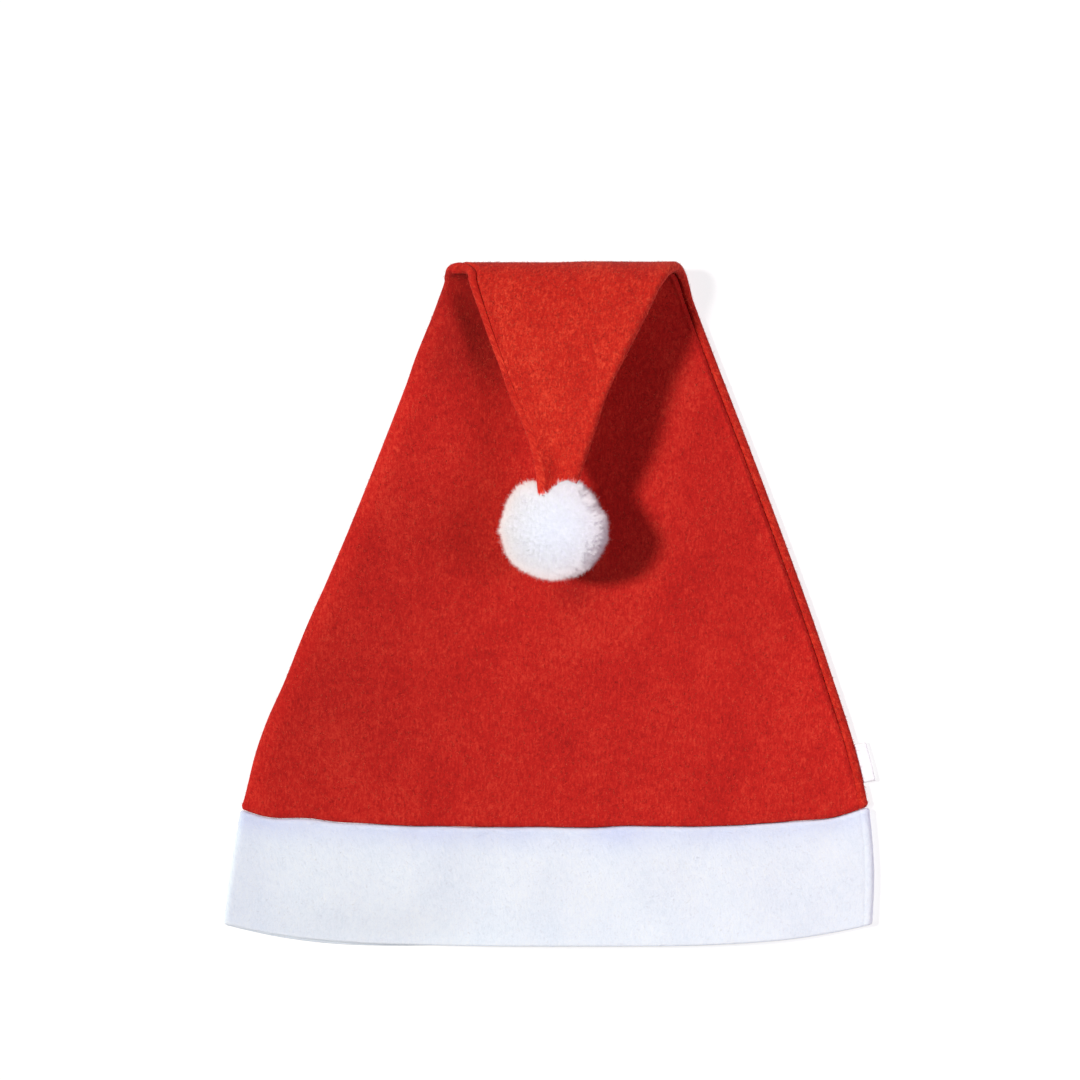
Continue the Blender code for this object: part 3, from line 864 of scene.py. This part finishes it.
def make_label(name, material):
    half = LABEL_LENGTH / 2
    along = np.linspace(LABEL_FROM_RIM - half, LABEL_FROM_RIM + half, 18)[:, None]
    edge, inward = turned_edge(along, 1, np.array([[90.0]]))
    outward = -inward
    reach = np.linspace(-0.2, LABEL_REACH / MM, 12) * MM
    turn = np.radians(np.linspace(90, -90, 9)[1:-1])
    out = np.concatenate([reach, reach[-1] + LABEL_FOLD * np.cos(turn), reach[::-1]])
    face = np.full(len(reach), LABEL_FOLD)
    up = np.concatenate([face, LABEL_FOLD * np.sin(turn), -face])
    root = edge + outward * CROWN_FELT / 2
    middle = root + outward * out[None, :, None] + np.array((0, 0, 1)) * up[None, :, None]
    lift = LABEL_WAVE * np.sin((along - along[0]) / LABEL_LENGTH * 5) * (out / reach[-1])[None, :]
    middle[..., 2] += lift
    flat_out = out * np.sign(up + 1e-9)
    flat = np.stack(np.broadcast_arrays(flat_out[None, :], along, 0 * along), -1)
    sideways = np.gradient(middle, axis=1)
    normal = unit(np.cross(sideways, np.gradient(middle, axis=0)))
    thickness = np.full(middle.shape[:2], RIBBON_HALF)
    return closed_sheet(name, middle, normal, thickness, material, flat)


label = make_label("side_label_ribbon", ribbon)
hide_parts("side_label")

# %% [markdown]
# ## Fibres
# Close up, felt and pile are nothing but fibres. Each one is a thin closed spike. A single object
# for each would choke Blender, so thousands are computed as arrays and joined in one mesh. A spike
# with a ring half way up can bend, and its colour varies a little from the next one's.

# %% A mesh of spikes
def add_spikes(name, roots, heading, lengths, radius, material, bend=None, facing=None):
    """One mesh of closed three-sided spikes. heading holds a unit vector for each root. bend, where
    it is given, holds the direction that each one curves to, and adds a ring half way up. facing,
    where it is given, holds the normal that each whole spike is shaded with."""
    count = len(roots)
    side = unit(np.cross(heading, np.roll(heading, 1, axis=1) + (0.3, 0.1, 0.2)))
    other = np.cross(heading, side)
    turns = np.radians((0, 120, 240))
    ring = side[:, None] * np.cos(turns)[None, :, None]
    ring = ring + other[:, None] * np.sin(turns)[None, :, None]
    if bend is None:
        rings = [roots[:, None] + ring * radius]
        sides = [(0, 1, 3), (1, 2, 3), (2, 0, 3), (2, 1, 0)]
        tips = roots + heading * lengths[:, None]
    else:
        half_way = roots + heading * (lengths * 0.5)[:, None]
        rings = [roots[:, None] + ring * radius, half_way[:, None] + ring * radius * 0.75]
        sides = [(0, 1, 4), (0, 4, 3), (1, 2, 5), (1, 5, 4), (2, 0, 3), (2, 3, 5),
                 (3, 4, 6), (4, 5, 6), (5, 3, 6), (2, 1, 0)]
        tips = roots + unit(heading + 0.5 * bend) * lengths[:, None]
    points = np.concatenate([*rings, tips[:, None]], axis=1)
    points[..., 2] = np.maximum(points[..., 2], 0)
    faces = np.array(sides)[None] + points.shape[1] * np.arange(count)[:, None, None]
    mesh = bpy.data.meshes.new(name)
    mesh.vertices.add(points.shape[1] * count)
    mesh.vertices.foreach_set("co", points.astype(np.float32).ravel())
    mesh.loops.add(faces.size)
    mesh.loops.foreach_set("vertex_index", faces.astype(np.int32).ravel())
    mesh.polygons.add(faces.size // 3)
    mesh.polygons.foreach_set("loop_start", np.arange(0, faces.size, 3, dtype=np.int32))
    mesh.update(calc_edges=True)
    mesh.validate()
    mesh.shade_smooth()
    if facing is not None:
        facing = np.repeat(facing, points.shape[1], axis=0)
        mesh.normals_split_custom_set_from_vertices(facing.tolist())
    mesh.materials.append(material)
    print(name, "has", count, "fibres,", faces.size // 3, "triangles")
    return add_object(name, mesh)


# %% [markdown]
# ## The pompom
# The pompom is a ball of cut polyester fibre, tied at the tip of the hat. Its pile stands out from
# the middle in all directions, and where the felt goes in it parts into a notch with a lobe on each
# side. It is built as a core that keeps the light from shining through, and a dense pile on it.

# %% Pompom form
POMPOM_CENTRE = np.array((1.7, 31.9, 31.8)) * MM
POMPOM_RADII = np.array((23.3, 22.0, 22.8)) * MM
POMPOM_FOOT = 9.8 * MM
# Outline seen from above: heading on the table in degrees from +X, distance from the middle in mm
POMPOM_OUTLINE = (
    (0, 24.0), (14, 24.1), (27, 22.5), (38, 23.8), (50, 23.4), (61, 24.0), (72, 24.3), (90, 22.8),
    (104, 22.2), (108, 21.0), (111, 22.2), (114, 23.9), (120, 23.9), (128, 24.9), (138, 24.2),
    (152, 23.3), (165, 23.0), (180, 23.6), (192, 22.7), (205, 22.8), (220, 22.8), (235, 22.3),
    (250, 21.6), (270, 22.0), (288, 21.7), (300, 22.5), (315, 23.1), (330, 23.1), (342, 23.2),
    (350, 24.3),
)
# Where the felt goes in: heading, height above the middle and width in degrees, depth in mm
NOTCH = ((70, 25, 12, 2.6), (81, 27, 9, -0.4), (107, 30, 8, -5.3))
TUFT_HEIGHT = 0.22 * MM


def round_body(heading):
    """Distance from the middle of a plain ball of these radii to its surface."""
    return 1 / np.linalg.norm(heading / POMPOM_RADII, axis=-1)


def direction(turn, height):
    """The unit vector of a heading on the table and a height above it, both in degrees."""
    turn, height = np.broadcast_arrays(np.radians(turn), np.radians(height))
    level = np.cos(height)
    return np.stack([np.cos(turn) * level, np.sin(turn) * level, np.sin(height)], axis=-1)


def pompom_radius(heading):
    """Distance from the middle of the pompom to the ends of its pile, in each direction."""
    level = np.hypot(heading[..., 0], heading[..., 1])
    turn = np.degrees(np.arctan2(heading[..., 1], heading[..., 0]))
    table, steps = tuple(zip(*POMPOM_OUTLINE)), (-2, 0, 2)
    outline = sum(np.interp(turn + step, *table, period=360) for step in steps) / 3 * MM
    radius = round_body(heading) + (outline - round_body(direction(turn, 0))) * level**3
    for turn, height, width, depth in NOTCH:
        angle = np.degrees(np.arccos(np.clip(heading @ direction(turn, height), -1, 1)))
        radius = radius + depth * MM * bell(angle, 0, width)
    tufts = ripples(heading, 0.42, 21) + ripples(heading, 0.16, 22)
    return radius + TUFT_HEIGHT * tufts


# %% Pompom core
CORE_DEPTH = 2.0 * MM           # how far the core lies under the ends of the pile
SCATTERED = 0.62                # share of the light on the pile that its fibres pass on downwards
LIT_SIDE = (-0.28, 0, 1)        # where most of that light comes from


def pile_facing(heading):
    """Normals to shade with. Light scatters between white fibres, so the sides of the ball are
    nearly as bright as its top, and each normal is bent to the light. The underside gets its light
    from the felt, and is shaded as it faces."""
    share = SCATTERED * np.interp(heading[:, 2:], (-0.75, -0.1), (0, 1))
    return unit(heading * (1 - share) + share * LIT_SIDE)


def make_pompom_core(name, material):
    bpy.ops.mesh.primitive_ico_sphere_add(subdivisions=6, radius=1.0)
    core = bpy.context.object
    core.name = core.data.name = name
    heading = unit(np.array([vert.co for vert in core.data.vertices]))
    tufts = (0.10 * ripples(heading, 0.15, 23) + 0.05 * ripples(heading, 0.07, 24)) * MM
    points = POMPOM_CENTRE + heading * (pompom_radius(heading) - CORE_DEPTH + tufts)[:, None]
    points[:, 2] = np.maximum(points[:, 2], POMPOM_FOOT + 0.3 * MM)
    core.data.vertices.foreach_set("co", points.astype(np.float32).ravel())
    core.data.update()
    core.data.shade_smooth()
    core.data.normals_split_custom_set_from_vertices(pile_facing(heading).tolist())
    store_tone(core.data, 0.5 + 0.4 * ripples(heading, 0.1, 25), heading)
    core.data.materials.append(material)
    return core


def pile_material(name, tip, root, painted_red_light, depth=0.0):
    """Cut polyester pile. It is whitest at its ends and greyer at its roots, a painted shade
    between the fibres, and its sides take a pink tint, painted red light thrown up from the felt.
    Where depth is given, light goes that far in and comes out again all round."""
    material, tree = new_material(name)
    stored = add_node(tree, "Attribute", {"attribute_name": "pile_tone"}).outputs["Vector"]
    white, side, _ = add_node(tree, "SeparateXYZ", Vector=stored).outputs
    length = add_node(tree, "Mix", {"data_type": "RGBA"}, _0=white, _6=linear(root), _7=linear(tip))
    red_light_tint = add_node(tree, "Mix", {"data_type": "RGBA", "blend_type": "MULTIPLY"}, _0=side,
                    _6=length.outputs[2], _7=linear(painted_red_light))
    shader = add_node(tree, "BsdfPrincipled", Base_Color=red_light_tint.outputs[2], Roughness=0.9, IOR=1.45,
                      Subsurface_Weight=1.0 if depth else 0.0, Subsurface_Radius=(1, 1, 1),
                      Subsurface_Scale=depth)
    shader.inputs["Specular IOR Level"].default_value = 0.1
    add_node(tree, "OutputMaterial", Surface=shader.outputs[0])
    return material


def store_tone(mesh, whiteness, heading):
    """Keeps for each point how white its pile is, less so on top, where it is painted darker so
    that the lit top is no brighter than the sides, and how far down the side of the ball it sits."""
    height = heading[:, 2]
    whiteness = np.clip(whiteness, 0, 1) * np.interp(height, (0.35, 1.0), (1.0, 0.35))
    tone = np.stack([whiteness, np.clip(1 - height, 0, 1) ** 1.2, 0 * height], axis=-1)
    keep_in_mesh(mesh, "pile_tone", tone)


# The last colour of each is the pink tint of the sides: painted red light from the felt below.
pompom_pile = pile_material("white_cut_polyester_pile", "#E6EFF3", "#CDD2D6", "#FFE4DE")
pompom_body = pile_material("white_dense_polyester_pile", "#E9EDF3", "#D6DAE4", "#FBE7E8", 8 * MM)
pompom_core = make_pompom_core("pompom_core", pompom_body)
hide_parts("pompom")

# %% Pompom pile
PILE_PER_PIECE = 30000
PILE_PIECES = 2
PILE_RADIUS = 0.08 * MM         # real pile is 0.02 mm thick, too fine to show
LEAST_PILE = 1.2 * MM


def spread_headings(count, random):
    """Directions spread evenly over a ball, with a little disorder."""
    number = np.arange(count) + 0.5
    height = 1 - 2 * number / count
    turn = math.pi * (3 - math.sqrt(5)) * number
    flat = np.sqrt(1 - height**2)
    even = np.stack([flat * np.cos(turn), flat * np.sin(turn), height], axis=-1)
    return unit(even + random.normal(scale=0.012, size=even.shape))


def tree_of(*pieces):
    """A search tree of the pieces' faces."""
    points, faces = [], []
    for piece in pieces:
        start = len(points)
        points += [tuple(vert.co) for vert in piece.data.vertices]
        faces += [tuple(start + v for v in face.vertices) for face in piece.data.polygons]
    return BVHTree.FromPolygons(points, faces)


def clear_of(felt, roots, tips):
    """True for each fibre that doesn't pass through the felt."""
    clear = np.ones(len(roots), bool)
    for number, (root, tip) in enumerate(zip(roots, tips)):
        if root[1] > 40 * MM and root[2] > 30 * MM:
            line = Vector(tip - root)
            if felt.ray_cast(Vector(root), line.normalized(), line.length)[0] is not None:
                clear[number] = False
    return clear


def make_pile():
    """Fibres that lean in tufts. Every ninth one is longer, for the fuzz round the outline."""
    random = np.random.default_rng(41)
    headings = spread_headings(PILE_PER_PIECE * PILE_PIECES, random)
    outline = pompom_radius(headings)
    roots = POMPOM_CENTRE + headings * (outline - CORE_DEPTH - 0.4 * MM)[:, None]
    clumping = np.stack([ripples(headings, 0.10, seed) for seed in (31, 32, 33)], axis=-1)
    lean = unit(headings + 0.35 * clumping + random.normal(scale=0.32, size=headings.shape))
    tuft = ripples(headings, 0.12, 34)
    lengths = CORE_DEPTH + (0.40 + 0.55 * tuft + random.normal(scale=0.45, size=len(roots))) * MM
    lengths[::9] += random.uniform(0.3, 1.2, len(lengths[::9])) * MM
    lengths = np.maximum(lengths, LEAST_PILE)
    whiteness = 0.80 + 0.30 * tuft + random.normal(scale=0.28, size=len(roots))
    tips = roots + lean * lengths[:, None]
    keep = (tips[:, 2] > POMPOM_FOOT) & clear_of(tree_of(crown_front, crown_back), roots, tips)
    shares = np.array_split(random.permutation(np.flatnonzero(keep)), PILE_PIECES)
    pieces = []
    for number, part in enumerate(shares, 1):
        piece = add_spikes(f"pompom_pile_{number}", roots[part], lean[part], lengths[part],
                           PILE_RADIUS, pompom_pile, facing=pile_facing(headings[part]))
        along = np.array((0, 0, 0, 1))[None, :] + 0 * part[:, None]
        # Roots half as white as the tips: painted shade between the fibres, which cast no shadows.
        white = (whiteness[part, None] * (0.5 + 0.5 * along)).ravel()
        store_tone(piece.data, white, np.repeat(headings[part], 4, axis=0))
        piece.visible_shadow = False    # thin fibres let light through: the core casts the shadow
        pieces.append(piece)
    return pieces


pile = make_pile()

# %% [markdown]
# ## Loose fibres on the felt
# Short fibres stand up from felt all over. They catch the light along the edges and soften every
# outline. They root on the outer faces of the panels and the band, lie mostly flat, and point in
# all directions.

# %% Fibres of the felt
FIBRE_RADIUS = 0.045 * MM       # real fibres are 0.02 mm thick, too fine to show


def read_rows(items, field, kind):
    """A field of three numbers for each of Blender's mesh items, as rows of an array."""
    values = np.zeros(len(items) * 3, kind)
    items.foreach_get(field, values)
    return values.reshape(-1, 3)


def felt_fibres(name, piece, count, seed, length, material):
    """Loose fibres on the outer face of a piece, fewer on its underside. length holds the shortest
    and the longest."""
    random = np.random.default_rng(seed)
    mesh = piece.data
    mesh.calc_loop_triangles()
    corners = read_rows(mesh.loop_triangles, "vertices", np.int32)
    points = read_rows(mesh.vertices, "co", np.float32)
    normals = read_rows(mesh.vertex_normals, "vector", np.float32)
    outer = (corners < len(points) // 2).all(axis=1)
    corners = corners[outer]
    a, b, c = (points[corners[:, k]] for k in range(3))
    area = np.linalg.norm(np.cross(b - a, c - a), axis=1)
    area *= np.where(normals[corners[:, 0], 2] < -0.5, 0.1, 1.0)
    chosen = random.choice(len(corners), count, p=area / area.sum())
    share = random.dirichlet((1, 1, 1), count)
    roots = (points[corners[chosen]] * share[..., None]).sum(axis=1)
    out = unit(normals[corners[chosen, 0]])
    flat = unit(np.cross(out, random.normal(size=out.shape)))
    lift = random.uniform(0.06, 0.75, (count, 1)) ** 1.5
    heading = unit(flat + out * lift)
    bend = unit(random.normal(size=out.shape) - 0.6 * out)
    lengths = random.uniform(*length, count)
    low = roots[:, 2] + unit(heading + 0.5 * bend)[:, 2] * lengths < 0.1 * MM
    heading[low, 2], bend[low, 2] = np.abs(heading[low, 2]), np.abs(bend[low, 2])
    roots[:, 2] = np.maximum(roots[:, 2], 0.05 * MM)
    return add_spikes(name, roots - out * 0.05 * MM, heading, lengths, FIBRE_RADIUS, material, bend)


def fibre_material(name, dark, bright):
    """Single polyester fibres, matte, some lighter than others."""
    material, tree = new_material(name)
    place = add_node(tree, "TexCoord").outputs["Object"]
    noise = add_node(tree, "TexNoise", Vector=place, Scale=1 / (1.5 * MM), Detail=1.0)
    tone = add_node(tree, "ValToRGB", Fac=noise.outputs[0])
    tone.color_ramp.elements[0].position, tone.color_ramp.elements[0].color = 0.4, linear(dark)
    tone.color_ramp.elements[1].position, tone.color_ramp.elements[1].color = 0.62, linear(bright)
    shader = add_node(tree, "BsdfPrincipled", Base_Color=tone.outputs[0], Roughness=0.8, IOR=1.45)
    add_node(tree, "OutputMaterial", Surface=shader.outputs[0])
    return material


red_fibre = fibre_material("red_polyester_fibre", "#8E0F0C", "#F06A4A")
white_fibre = fibre_material("white_polyester_fibre", "#ECEEF8", "#FAFAFF")
fibres = [
    felt_fibres("crown_front_fibres", crown_front, 17000, 51, (0.9 * MM, 2.6 * MM), red_fibre),
    felt_fibres("crown_back_fibres", crown_back, 14000, 52, (0.8 * MM, 2.4 * MM), red_fibre),
    felt_fibres("band_fibres", band, 10000, 53, (0.7 * MM, 1.9 * MM), white_fibre),
]

# %% [markdown]
# ## Fitting the pieces to the frame
# Every piece moves with the frame's one body.

# %% Ride
for piece in (crown_front, crown_back, band, label, pompom_core, *pile, *fibres):
    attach(piece, "root")

# %% [markdown]
# ## Sizes
# The dressed hat should be as large as the frame. How far it grows past the frame's box on each
# side is printed.

# %% Print the growth past the frame
faces = sum(len(item.data.polygons) for item in bpy.data.objects if item.type == "MESH")
print("Faces in all:", faces)
low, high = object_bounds()
grown = np.round(np.concatenate([cad_low - low, high - cad_high]) / MM, 2)
print("Grown by, in mm:", grown.tolist())
